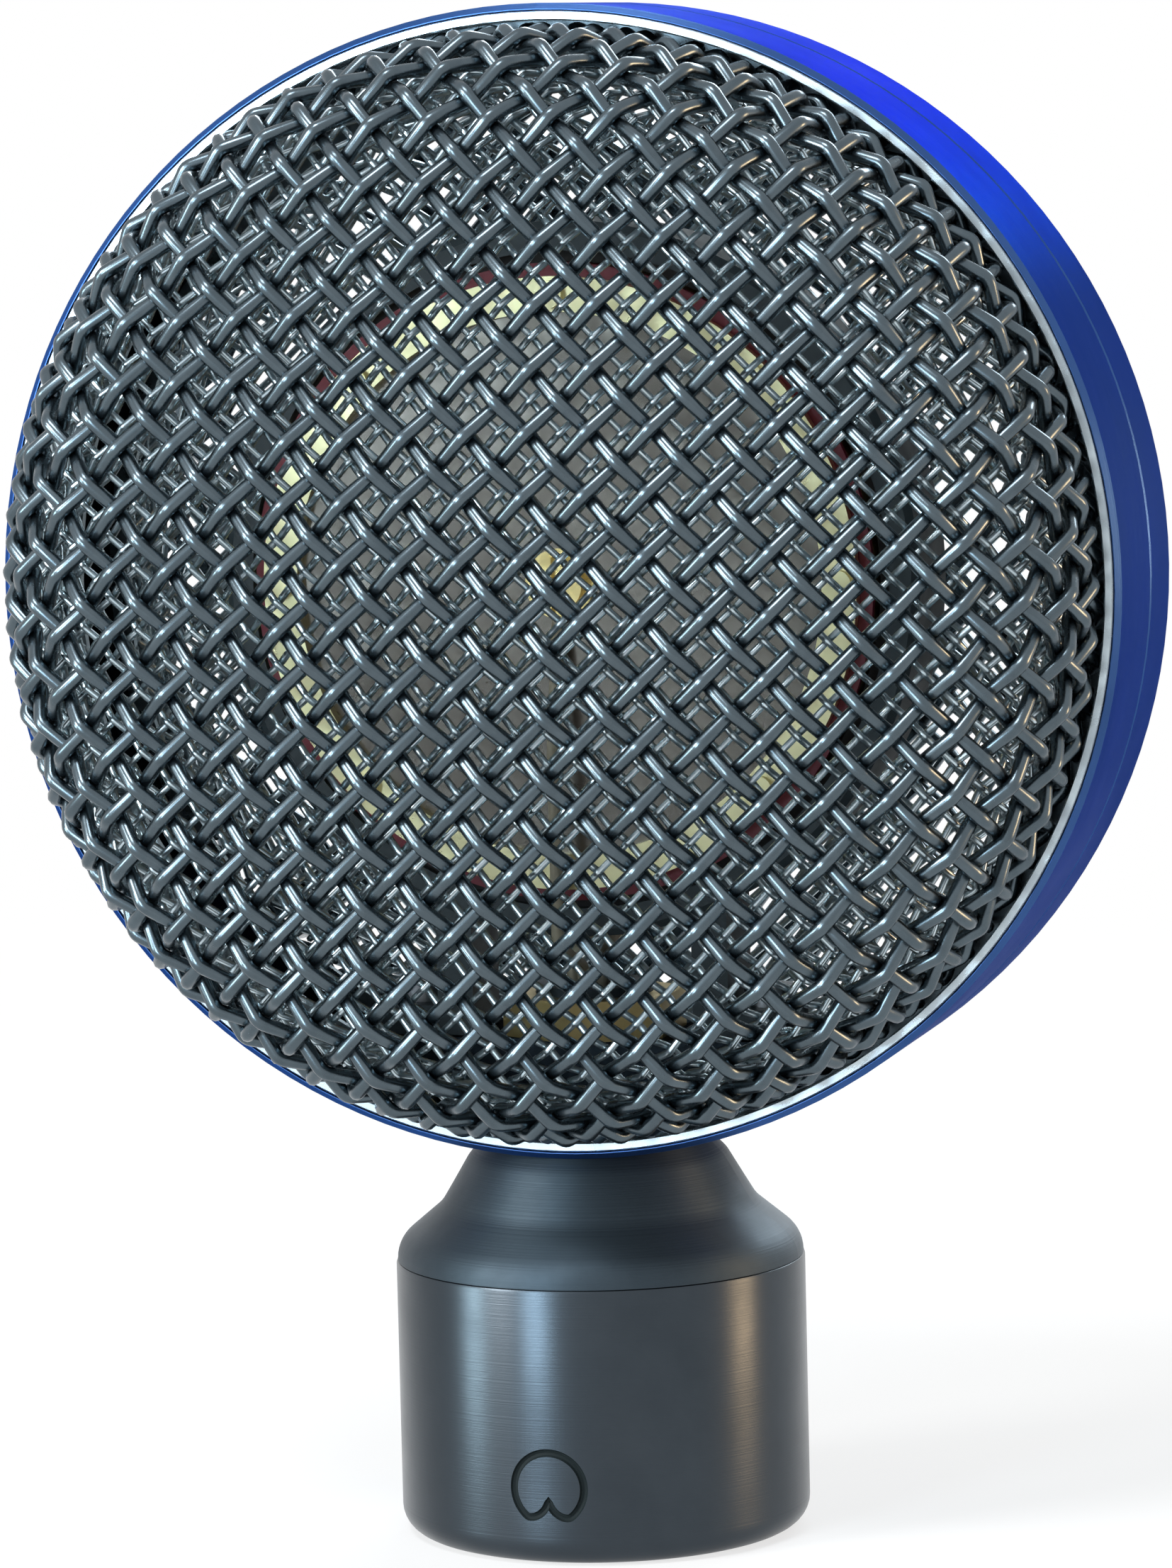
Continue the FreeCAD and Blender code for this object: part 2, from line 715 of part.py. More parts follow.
def neck():
    """The turned neck: an ogee from the collar up to the ring, cut on top to sit astride the ring,
    with a hollow spigot that passes up through the ring."""
    body = new_body("neck", False)
    bore = size("wire_bore_radius")
    cavity = plug_radius - size("neck_wall")
    foot = (size("collar_radius") - size("neck_step"), collar_height)
    shoulder = (foot[0], collar_height + size("neck_shoulder_rise"))
    flank = (size("neck_flank_radius"), collar_height + size("neck_flank_rise"))
    throat = (size("neck_throat_radius"), collar_height + size("neck_throat_rise"))
    top = (size("neck_top_radius"), collar_height + size("neck_top_rise"))
    ring_inside = head_height - ring_bore
    revolve(body, "neck_turning", [
        (cavity, disc_top),
        (plug_radius, disc_top),
        (plug_radius, collar_height),
        foot,
        *rounded(foot, shoulder, flank, size("neck_shoulder_round")),
        *rounded(shoulder, flank, throat, size("neck_flank_round")),
        *rounded(flank, throat, top, size("neck_throat_round")),
        top,
        (top[0], ring_inside),
        (bore, ring_inside),
        (bore, collar_height + size("neck_roof_rise")),
        (cavity, collar_height + size("neck_cavity_rise")),
    ], plane="XZ_Plane", axis="V_Axis")
    saddle = new_sketch(body, "saddle_outline", "XZ_Plane")
    draw_circle(saddle, 0, head_height, head_radius)
    length = (size("neck_flank_radius") + margin) * 2
    extrude(body, "PartDesign::Pocket", "saddle", saddle, length, symmetric=True)
    spigot_top = head_height - boss_top + size("nut_height") + size("spigot_stand")
    spigot_root = top[1] - margin
    outline = rectangle(bore, size("spigot_radius"), spigot_root, spigot_top)
    body.Tip = revolve(body, "spigot", outline, plane="XZ_Plane", axis="V_Axis")
    parts.append(body)


def lock_nut():
    """The hexagon nut inside the ring that clamps it to the neck."""
    body = new_body("lock_nut", True)
    sketch = new_sketch(body, "nut_outline", "XY_Plane")
    half = size("nut_half_flats")
    corner = half * 2 / as_size(3).root()
    outline = [(half, corner / 2), (0, corner), (-half, corner / 2), (-half, -corner / 2), (0, -corner),
               (half, -corner / 2)]
    draw_outline(sketch, outline)
    draw_circle(sketch, 0, 0, spigot_hole)
    sketch.setExpression("AttachmentOffset.Base.z", (-boss_top).text)
    body.Tip = extrude(body, "PartDesign::Pad", "nut", sketch, size("nut_height"))
    parts.append(body)


def collar():
    """The plain sleeve below the neck: a threaded bore for the microphone body with a relief above
    the thread, and a wider socket on top that takes the contact disc and the neck's plug."""
    body = new_body("collar", False)
    outer = size("collar_radius")
    edge = size("collar_edge")
    foot_round = size("collar_foot_round")
    bore = size("body_bore_radius")
    chamfer = size("body_bore_chamfer")
    relief = size("thread_relief_radius")
    revolve(body, "sleeve", [
        (bore + chamfer, 0),
        (outer - foot_round, 0, outer - foot_round, foot_round, "xy"),
        (outer, foot_round, "y"),
        (outer, collar_height - edge),
        (outer - edge, collar_height),
        (size("socket_radius"), collar_height),
        (size("socket_radius"), disc_bottom),
        (relief, disc_bottom),
        (relief, size("body_bore_depth")),
        (bore, size("body_bore_depth")),
        (bore, chamfer),
    ], plane="XZ_Plane", axis="V_Axis")
    parts.append(body)


def contact_insulator():
    """The moulded disc that carries the three contacts."""
    body = new_body("contact_insulator", False)
    outline = rectangle(0, plug_radius, disc_bottom, disc_top)
    revolve(body, "disc", outline, plane="XZ_Plane", axis="V_Axis")
    sketch = new_sketch(body, "pin_hole_outline", "XY_Plane")
    draw_circle(sketch, 0, -size("pin_circle"), size("pin_radius"))
    sketch.setExpression("AttachmentOffset.Base.z", disc_top.text)
    hole = extrude(body, "PartDesign::Pocket", "pin_hole", sketch, size("insulator_disc_thickness"))
    round_pattern(body, "pin_holes", hole, "Z_Axis", size("pin_count"))
    parts.append(body)


def contact_pins():
    """Three round contacts pressed through the disc."""
    body = new_body("contact_pins", False)
    sketch = new_sketch(body, "pin_outline", "XY_Plane")
    draw_circle(sketch, 0, -size("pin_circle"), size("pin_radius"))
    sketch.setExpression("AttachmentOffset.Base.z", (disc_bottom - size("pin_below")).text)
    length = size("insulator_disc_thickness") + size("pin_below") + size("pin_above")
    pin = extrude(body, "PartDesign::Pad", "pin", sketch, length)
    round_pattern(body, "pins", pin, "Z_Axis", size("pin_count"))
    parts.append(body)


clearance = size("lead_clearance")
nut_top = head_height - boss_top + size("nut_height")
wire_way = collar_height + size("neck_roof_rise")
under_mount = head_height - mount_radius
turn_in = (under_mount + nut_top) / 2


def rounded_path(places, radius):
    """A wire of straight runs through the places, with an arc of that radius in every bend."""
    edges = []
    start = places[0]
    for before, corner, after in zip(places, places[1:], places[2:]):
        inward = (corner - before).normalize()
        outward = (after - corner).normalize()
        angle = inward.getAngle(outward)
        cut = radius * math.tan(angle / 2)
        first = corner - inward * cut
        last = corner + outward * cut
        middle = (outward - inward).normalize() * (radius / math.cos(angle / 2) - radius) + corner
        edges.append(Part.LineSegment(start, first).toShape())
        edges.append(Part.Arc(first, middle, last).toShape())
        start = last
    edges.append(Part.LineSegment(start, places[-1]).toShape())
    return Part.Wire(edges)


def lead(label, points):
    """A thin insulated wire along points chosen by hand, swept with one round section."""
    places = [FreeCAD.Vector(*[as_size(part).number for part in point]) for point in points]
    path = rounded_path(places, size("lead_bend").number)
    section = Part.Circle(places[0], places[1] - places[0], size("lead_radius").number)
    wire = doc.addObject("Part::Feature", label)
    wire.Label = label
    wire.Shape = path.makePipeShell([Part.Wire([section.toShape()])], True, True)
    parts.append(wire)


def contact_end(place):
    """The last two points of a lead, down onto the contact at that place, counted from the front."""
    turn = 2 * math.pi * place / size("pin_count").number
    x = size("pin_circle") * math.sin(turn)
    y = size("pin_circle") * -math.cos(turn)
    top = disc_top + size("pin_above")
    return [(x, y, top + clearance * 2), (x, y, top)]


def diaphragm_lead(label, side, contact):
    """From the edge of a terminal's washer down past the capsule, through the neck to a contact."""
    depth = (washer_face + size("lead_radius") + size("lead_gap")) * side
    stand = (clamp_face + size("clamp_head_height") + size("lead_radius") + size("lead_stand")) * side
    inner = size("lead_circle") * side
    first = head_height - size("terminal_head_radius") - size("lead_radius") - size("lead_gap")
    lead(label, [
        (0, depth, first),
        (0, stand, head_height - capsule_radius / 2),
        (0, stand, under_mount),
        (0, inner * 2, turn_in),
        (0, inner, nut_top - clearance),
        (0, inner, wire_way + clearance),
        *contact_end(contact),
    ])


def backplate_lead():
    """From the backplates' edge through the slot in the mount, then down the neck to a contact."""
    place = -size("lead_circle")
    lead("backplate_lead", [
        (0, 0, head_height - capsule_radius - size("lead_gap")),
        (0, 0, under_mount),
        (place, 0, turn_in),
        (place, 0, wire_way + clearance),
        *contact_end(2),
    ])


head_ring()
bezel("front_bezel", -1)
bezel("rear_bezel", 1)
outer_mesh("front_outer_mesh", -1)
outer_mesh("rear_outer_mesh", 1)
inner_mesh("front_inner_mesh", -1)
inner_mesh("rear_inner_mesh", 1)
neck()
collar()
lock_nut()
contact_insulator()
contact_pins()
capsule_mount()
capsule_cushion()
mount_screws()
centre_spacer()
for name, side in (("front", -1), ("rear", 1)):
    backplate(f"{name}_backplate", side)
    drilled_washer(f"{name}_insulator_ring", side, backplate_face, insulator_face,
                   clamp_inside - size("insulator_reach"), capsule_radius)
    flat_ring(f"{name}_diaphragm", side, insulator_face, diaphragm_face,
              terminal_hole, clamp_screw_circle - clamp_screw_hole - size("diaphragm_gap"))
    drilled_washer(f"{name}_clamp_ring", side, diaphragm_face, clamp_face, clamp_inside, clamp_outside)
    clamp_screws(f"{name}_clamp_screws", side)
    flat_ring(f"{name}_terminal_washer", side, diaphragm_face, washer_face,
              terminal_hole, size("washer_radius"))
    terminal(f"{name}_terminal", side)
diaphragm_lead("front_lead", -1, 0)
diaphragm_lead("rear_lead", 1, 1)
backplate_lead()
doc.recompute()

for item in doc.Objects:
    if "Invalid" in item.State or "Error" in item.State:
        raise RuntimeError(f"{item.Label} did not build: {item.State}")
for part in parts:
    if part.Shape.isNull() or not part.Shape.isValid():
        raise RuntimeError(f"{part.Label} has no valid shape")
for part in parts:
    part.Shape.exportStep(f"parts/{part.Label}.step")
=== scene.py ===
import math

import bpy
import numpy as np
from mathutils import Matrix, Vector


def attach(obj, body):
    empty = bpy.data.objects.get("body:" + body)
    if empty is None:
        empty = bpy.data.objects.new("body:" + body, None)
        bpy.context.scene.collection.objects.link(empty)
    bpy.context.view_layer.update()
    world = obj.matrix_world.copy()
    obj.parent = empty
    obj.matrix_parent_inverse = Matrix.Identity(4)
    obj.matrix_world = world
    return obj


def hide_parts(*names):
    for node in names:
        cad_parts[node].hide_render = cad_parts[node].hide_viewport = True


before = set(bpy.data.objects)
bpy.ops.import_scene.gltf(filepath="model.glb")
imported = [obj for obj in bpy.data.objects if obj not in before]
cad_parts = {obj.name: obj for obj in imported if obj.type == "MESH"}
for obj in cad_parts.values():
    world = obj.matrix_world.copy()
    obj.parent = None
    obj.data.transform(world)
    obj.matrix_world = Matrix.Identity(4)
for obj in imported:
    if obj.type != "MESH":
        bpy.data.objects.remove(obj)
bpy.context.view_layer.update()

# The camera: a long lens a little to the right of the head and a little above its middle,
# turned back to it, so that the front mesh fills the picture and the ring's side shows.
mm = 0.001
camera_place = Vector((97.07, -351.79, 81.70)) * mm
camera_yaw, camera_pitch, camera_roll = math.radians(15.457), math.radians(-6.350), math.radians(1.371)
camera_data = bpy.data.cameras.new("camera")
camera_data.sensor_width = 36.0
camera_data.lens = 154.32
camera_data.clip_start = 0.01
camera = bpy.data.objects.new("camera", camera_data)
bpy.context.collection.objects.link(camera)
camera_turn = (Matrix.Rotation(camera_yaw, 4, "Z") @ Matrix.Rotation(camera_pitch, 4, "X")
               @ Matrix.Rotation(camera_roll, 4, "Y") @ Matrix.Rotation(math.radians(90), 4, "X"))
camera.matrix_world = Matrix.Translation(camera_place) @ camera_turn
bpy.context.scene.camera = camera

# The studio: a white sweep of paper, soft lamps, and a white surround. The paper and the
# surround show white to the lens and in the metal, and the paper keeps the head's soft shadow.
bpy.context.scene.view_settings.view_transform = "Standard"
surround_fill = 0.15
paper_size, paper_behind, paper_height, paper_round = 1.6, 0.3, 1.2, 0.5
white_share_here, white_share_from = 0.72, 0.25


def pick_none():
    """Leaves nothing selected."""
    bpy.ops.object.select_all(action="DESELECT")


def lens_rays(tree):
    """A value of 1 for what the lens sees, straight or in metal and glass."""
    path = tree.nodes.new("ShaderNodeLightPath")
    first = tree.nodes.new("ShaderNodeMath")
    first.operation = "ADD"
    first.use_clamp = True
    tree.links.new(path.outputs["Is Camera Ray"], first.inputs[0])
    tree.links.new(path.outputs["Is Glossy Ray"], first.inputs[1])
    second = tree.nodes.new("ShaderNodeMath")
    second.operation = "ADD"
    second.use_clamp = True
    tree.links.new(first.outputs[0], second.inputs[0])
    tree.links.new(path.outputs["Is Transmission Ray"], second.inputs[1])
    return second.outputs[0]


world = bpy.data.worlds.new("surround")
world.use_nodes = True
bpy.context.scene.world = world
surround = world.node_tree.nodes["Background"]
surround.inputs["Color"].default_value = (0.97, 0.985, 1.0, 1.0)
surround_level = world.node_tree.nodes.new("ShaderNodeMapRange")
surround_level.inputs["To Min"].default_value = surround_fill
surround_level.inputs["To Max"].default_value = 1.0
world.node_tree.links.new(lens_rays(world.node_tree), surround_level.inputs["Value"])
world.node_tree.links.new(surround_level.outputs["Result"], surround.inputs["Strength"])

pick_none()
bpy.ops.mesh.primitive_plane_add(size=paper_size, location=(0, 0, 0))
paper = bpy.context.object
paper.name = "paper"
bpy.ops.object.mode_set(mode="EDIT")
bpy.ops.mesh.select_mode(type="EDGE")
bpy.ops.mesh.select_all(action="DESELECT")
bpy.ops.object.mode_set(mode="OBJECT")
for edge in paper.data.edges:
    edge.select = all(paper.data.vertices[index].co.y > 0 for index in edge.vertices)
bpy.ops.object.mode_set(mode="EDIT")
bpy.ops.mesh.extrude_region_move(TRANSFORM_OT_translate={"value": (0, paper_behind, 0)})
bpy.ops.mesh.extrude_region_move(TRANSFORM_OT_translate={"value": (0, 0, paper_height)})
bpy.ops.mesh.select_all(action="SELECT")
bpy.ops.mesh.normals_make_consistent(inside=False)
bpy.ops.object.mode_set(mode="OBJECT")
sweep = paper.modifiers.new("sweep", "BEVEL")
sweep.width = paper_round
sweep.segments = 16
bpy.ops.object.modifier_apply(modifier=sweep.name)
bpy.ops.object.shade_smooth()
paper_material = bpy.data.materials.new("paper_white")
paper_material.use_nodes = True
paper_tree = paper_material.node_tree
paper_shader = paper_tree.nodes["Principled BSDF"]
paper_shader.inputs["Base Color"].default_value = (0.93, 0.935, 0.94, 1.0)
paper_shader.inputs["Roughness"].default_value = 0.9
paper_glow = paper_tree.nodes.new("ShaderNodeEmission")
paper_glow.inputs["Strength"].default_value = 1.0
paper_mix = paper_tree.nodes.new("ShaderNodeMixShader")
paper_place = paper_tree.nodes.new("ShaderNodeTexCoord")
paper_axes = paper_tree.nodes.new("ShaderNodeSeparateXYZ")
paper_tree.links.new(paper_place.outputs["Object"], paper_axes.inputs[0])
paper_white = paper_tree.nodes.new("ShaderNodeMapRange")
paper_white.inputs["From Max"].default_value = white_share_from
paper_white.inputs["To Min"].default_value = white_share_here
paper_tree.links.new(paper_axes.outputs["Y"], paper_white.inputs["Value"])
paper_share = paper_tree.nodes.new("ShaderNodeMath")
paper_share.operation = "MULTIPLY"
paper_tree.links.new(lens_rays(paper_tree), paper_share.inputs[0])
paper_tree.links.new(paper_white.outputs["Result"], paper_share.inputs[1])
paper_tree.links.new(paper_share.outputs[0], paper_mix.inputs[0])
paper_tree.links.new(paper_shader.outputs[0], paper_mix.inputs[1])
paper_tree.links.new(paper_glow.outputs[0], paper_mix.inputs[2])
paper_tree.links.new(paper_mix.outputs[0], paper_tree.nodes["Material Output"].inputs[0])
paper.data.materials.append(paper_material)

head_middle = Vector((0, 0, 52.5)) * mm


def lamp(name, place, width, height, power, colour):
    """A soft lamp of a size in metres and a power in watts, turned to the head's middle."""
    data = bpy.data.lights.new(name, "AREA")
    data.shape = "RECTANGLE"
    data.size = width
    data.size_y = height
    data.energy = power
    data.color = colour
    made = bpy.data.objects.new(name, data)
    bpy.context.collection.objects.link(made)
    made.location = place
    made.rotation_euler = (head_middle - Vector(place)).to_track_quat("-Z", "Y").to_euler()


lamp("key_lamp", (-0.505, -0.490, 0.310), 0.20, 0.20, 4.0, (1.0, 0.99, 0.97))
lamp("top_lamp", (-0.105, -0.370, 0.700), 0.22, 0.18, 3.2, (0.93, 0.97, 1.0))
lamp("front_lamp", (-0.270, -0.660, 0.150), 0.15, 0.24, 2.9, (0.70, 0.88, 1.0))
lamp("low_lamp", (-0.600, -0.340, 0.060), 0.14, 0.12, 1.5, (0.80, 0.97, 1.0))
lamp("side_lamp", (0.690, 0.120, 0.090), 0.16, 0.24, 2.2, (1.0, 0.60, 0.30))
lamp("back_lamp", (0.090, 0.630, 0.410), 0.56, 0.16, 3.6, (0.84, 0.94, 1.0))


# The housing ring: turned from aluminium and satin. Its side is coloured a deep blue that is a painted
# reflection of blue light round it, and its bore gets a near-black painted shade. It has one fine turned
# line round it. Lathe lines run round it and show in the sheen.


def turning_group():
    """Fine lathe lines along one coordinate, from 0 to 1."""
    group = bpy.data.node_groups.new("turning_lines", "ShaderNodeTree")
    group.interface.new_socket("Along", in_out="INPUT", socket_type="NodeSocketFloat")
    group.interface.new_socket("Lines per metre", in_out="INPUT", socket_type="NodeSocketFloat")
    group.interface.new_socket("Lines", in_out="OUTPUT", socket_type="NodeSocketFloat")
    into = group.nodes.new("NodeGroupInput")
    out = group.nodes.new("NodeGroupOutput")
    scaled = group.nodes.new("ShaderNodeMath")
    scaled.operation = "MULTIPLY"
    noise = group.nodes.new("ShaderNodeTexNoise")
    noise.noise_dimensions = "1D"
    noise.inputs["Scale"].default_value = 1.0
    noise.inputs["Detail"].default_value = 3.0
    noise.inputs["Roughness"].default_value = 0.65
    group.links.new(into.outputs["Along"], scaled.inputs[0])
    group.links.new(into.outputs["Lines per metre"], scaled.inputs[1])
    group.links.new(scaled.outputs[0], noise.inputs["W"])
    group.links.new(noise.outputs["Fac"], out.inputs["Lines"])
    return group


def handling_group():
    """Soft uneven patches of handling and age over a surface, from 0 to 1."""
    group = bpy.data.node_groups.new("handling", "ShaderNodeTree")
    group.interface.new_socket("Place", in_out="INPUT", socket_type="NodeSocketVector")
    group.interface.new_socket("Patches per metre", in_out="INPUT", socket_type="NodeSocketFloat")
    group.interface.new_socket("Patches", in_out="OUTPUT", socket_type="NodeSocketFloat")
    into = group.nodes.new("NodeGroupInput")
    out = group.nodes.new("NodeGroupOutput")
    noise = group.nodes.new("ShaderNodeTexNoise")
    noise.inputs["Detail"].default_value = 5.0
    noise.inputs["Roughness"].default_value = 0.6
    spread = group.nodes.new("ShaderNodeMapRange")
    spread.inputs["From Min"].default_value = 0.3
    spread.inputs["From Max"].default_value = 0.7
    group.links.new(into.outputs["Place"], noise.inputs["Vector"])
    group.links.new(into.outputs["Patches per metre"], noise.inputs["Scale"])
    group.links.new(noise.outputs["Fac"], spread.inputs["Value"])
    group.links.new(spread.outputs["Result"], out.inputs["Patches"])
    return group


turning = turning_group()
handling = handling_group()


def finish(name, colour, worn, metallic, rough, rougher, patches=400.0, axis=None, lines=9000.0,
           depth=0.02):
    """A material that drifts between a colour and its worn tone, with lathe lines across an axis."""
    made = bpy.data.materials.new(name)
    made.use_nodes = True
    tree = made.node_tree
    shader = tree.nodes["Principled BSDF"]
    shader.inputs["Metallic"].default_value = metallic
    place = tree.nodes.new("ShaderNodeTexCoord")
    patch = tree.nodes.new("ShaderNodeGroup")
    patch.node_tree = handling
    patch.inputs["Patches per metre"].default_value = patches
    tree.links.new(place.outputs["Object"], patch.inputs["Place"])
    mix = tree.nodes.new("ShaderNodeMix")
    mix.data_type = "RGBA"
    mix.inputs["A"].default_value = (*colour, 1.0)
    mix.inputs["B"].default_value = (*worn, 1.0)
    tree.links.new(patch.outputs["Patches"], mix.inputs["Factor"])
    tree.links.new(mix.outputs["Result"], shader.inputs["Base Color"])
    sheen = tree.nodes.new("ShaderNodeMapRange")
    sheen.inputs["To Min"].default_value = rough
    sheen.inputs["To Max"].default_value = rougher
    tree.links.new(patch.outputs["Patches"], sheen.inputs["Value"])
    tree.links.new(sheen.outputs["Result"], shader.inputs["Roughness"])
    if axis:
        split = tree.nodes.new("ShaderNodeSeparateXYZ")
        tree.links.new(place.outputs["Object"], split.inputs[0])
        cut = tree.nodes.new("ShaderNodeGroup")
        cut.node_tree = turning
        cut.inputs["Lines per metre"].default_value = lines
        tree.links.new(split.outputs[axis], cut.inputs["Along"])
        bump = tree.nodes.new("ShaderNodeBump")
        bump.inputs["Strength"].default_value = 0.6
        bump.inputs["Distance"].default_value = depth * mm
        tree.links.new(cut.outputs["Lines"], bump.inputs["Height"])
        tree.links.new(bump.outputs["Normal"], shader.inputs["Normal"])
        way = tree.nodes.new("ShaderNodeTangent")
        way.direction_type = "RADIAL"
        way.axis = axis
        tree.links.new(way.outputs[0], shader.inputs["Tangent"])
        shader.inputs["Anisotropic"].default_value = 0.65
        shader.inputs["Anisotropic Rotation"].default_value = 0.25
    return made


def dress(node, made):
    """Gives a CAD node that stays in view its finish."""
    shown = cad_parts[node]
    shown.data.materials.clear()
    shown.data.materials.append(made)


bore_shade_radius, bore_shade_blend = 30.0, 0.1
# The side's deep blue is a painted reflection of blue light round the ring. Its patches of darker blue
# are random tone.
ring_blue = finish("ring_blue", (0.045, 0.100, 0.27), (0.034, 0.078, 0.21), 1.0, 0.28, 0.36, 120.0,
                   "Y", 14000.0)
ring_tree = ring_blue.node_tree
ring_shader = ring_tree.nodes["Principled BSDF"]
ring_place = ring_tree.nodes.new("ShaderNodeTexCoord")
ring_centred = ring_tree.nodes.new("ShaderNodeVectorMath")
ring_centred.operation = "MULTIPLY_ADD"
ring_centred.inputs[1].default_value = (1.0, 0.0, 1.0)
ring_centred.inputs[2].default_value = (0.0, 0.0, -head_middle.z)
ring_tree.links.new(ring_place.outputs["Object"], ring_centred.inputs[0])
ring_radius = ring_tree.nodes.new("ShaderNodeVectorMath")
ring_radius.operation = "LENGTH"
ring_tree.links.new(ring_centred.outputs["Vector"], ring_radius.inputs[0])
# Beyond this radius the ring keeps its painted blue. Inside it, in the bore, a painted shade takes over.
bore_shade_mask = ring_tree.nodes.new("ShaderNodeMapRange")
bore_shade_mask.inputs["From Min"].default_value = (bore_shade_radius - bore_shade_blend) * mm
bore_shade_mask.inputs["From Max"].default_value = (bore_shade_radius + bore_shade_blend) * mm
ring_tree.links.new(ring_radius.outputs["Value"], bore_shade_mask.inputs["Value"])
ring_colour = ring_shader.inputs["Base Color"].links[0].from_socket
# The bore's near-black colour is painted shade.
bore_shade_mix = ring_tree.nodes.new("ShaderNodeMix")
bore_shade_mix.data_type = "RGBA"
bore_shade_mix.inputs["A"].default_value = (0.020, 0.026, 0.032, 1.0)
ring_tree.links.new(bore_shade_mask.outputs["Result"], bore_shade_mix.inputs["Factor"])
ring_tree.links.new(ring_colour, bore_shade_mix.inputs["B"])
ring_tree.links.new(bore_shade_mix.outputs["Result"], ring_shader.inputs["Base Color"])
# The sheen's tint is grey in the bore's painted shade and blue on the side, as part of the painted blue
# reflection.
shade_and_blue_tint_mix = ring_tree.nodes.new("ShaderNodeMix")
shade_and_blue_tint_mix.data_type = "RGBA"
shade_and_blue_tint_mix.inputs["A"].default_value = (0.10, 0.11, 0.12, 1.0)
shade_and_blue_tint_mix.inputs["B"].default_value = (0.11, 0.20, 0.46, 1.0)
ring_tree.links.new(bore_shade_mask.outputs["Result"], shade_and_blue_tint_mix.inputs["Factor"])
ring_tree.links.new(shade_and_blue_tint_mix.outputs["Result"], ring_shader.inputs["Specular Tint"])
dress("head_ring", ring_blue)

# The two lips: bare bright rings screwed into the housing, which press the mesh brims down.
lip_silver = finish("lip_silver", (0.56, 0.64, 0.68), (0.44, 0.51, 0.56), 1.0, 0.22, 0.32, 500.0,
                    "Y", 12000.0)
dress("front_bezel", lip_silver)
dress("rear_bezel", lip_silver)

# The coarse meshes: drawn nickel-plated wire in plain weave, pressed into a dome and clamped by
# its flattened brim. The two sets of wires run over and under each other on the diagonals.
lip_depth = 7.1
dome_rise = 12.0
dome_radius = 30.0
crown_radius = 115.0
shoulder_radius = 8.5
shoulder_place = dome_radius - shoulder_radius
crown_centre = lip_depth + dome_rise - crown_radius
shoulder_depth = crown_centre + math.sqrt((crown_radius - shoulder_radius) ** 2 - shoulder_place ** 2)
joint_angle = math.asin(shoulder_place / (crown_radius - shoulder_radius))


def dome_place(over, inset):
    """Where a distance over the pressed dome from its apex lies, as radius, depth and outward
    direction, on a surface that far inside the dome's outer face."""
    crown = crown_radius - inset
    shoulder = shoulder_radius - inset
    crown_run = crown * joint_angle
    shoulder_run = shoulder * (math.pi / 2 - joint_angle)
    on_crown = np.clip(over, 0, crown_run) / crown
    on_shoulder = joint_angle + np.clip(over - crown_run, 0, shoulder_run) / shoulder
    skirt = np.maximum(over - crown_run - shoulder_run, 0)
    crowned = over < crown_run
    angle = np.where(crowned, on_crown, on_shoulder)
    radius = np.where(crowned, crown * np.sin(angle), shoulder_place + shoulder * np.sin(angle))
    depth = np.where(crowned, crown_centre + crown * np.cos(angle),
                     shoulder_depth + shoulder * np.cos(angle)) - skirt
    return radius, depth, np.sin(angle), np.cos(angle)


def dome_run(inset, foot):
    """How far it is over that surface from the apex to the foot of the skirt."""
    crown_run = (crown_radius - inset) * joint_angle
    shoulder_run = (shoulder_radius - inset) * (math.pi / 2 - joint_angle)
    return crown_run + shoulder_run + shoulder_depth - foot


def wire_slope(wire, crossing):
    """How steeply a wire of a plain weave runs between the wires that it bends round."""
    part = crossing / wire
    return math.atan(part) - math.acos(2 / math.hypot(1, part))


def wire_wave(t, wire, crossing):
    """The height of a wire over its middle surface: it bends round each wire that it crosses,
    in an arc, and runs straight between them."""
    slope = wire_slope(wire, crossing)
    bend = wire * math.sin(slope)
    beyond = np.abs((t / crossing + 1) % 2 - 1) * crossing
    near = np.minimum(beyond, crossing - beyond)
    arc = wire / 2 - wire + np.sqrt(wire ** 2 - np.minimum(near, bend) ** 2)
    height = arc - np.maximum(near - bend, 0) * math.tan(slope)
    return np.where(beyond <= crossing / 2, height, -height)


def stations(bend, steps):
    """Places along one crossing, as shares of it, closer together where the wire bends."""
    straight = np.linspace(bend, 1 - bend, steps)
    return np.concatenate([(0, bend / 2), straight, (1 - bend / 2,)])


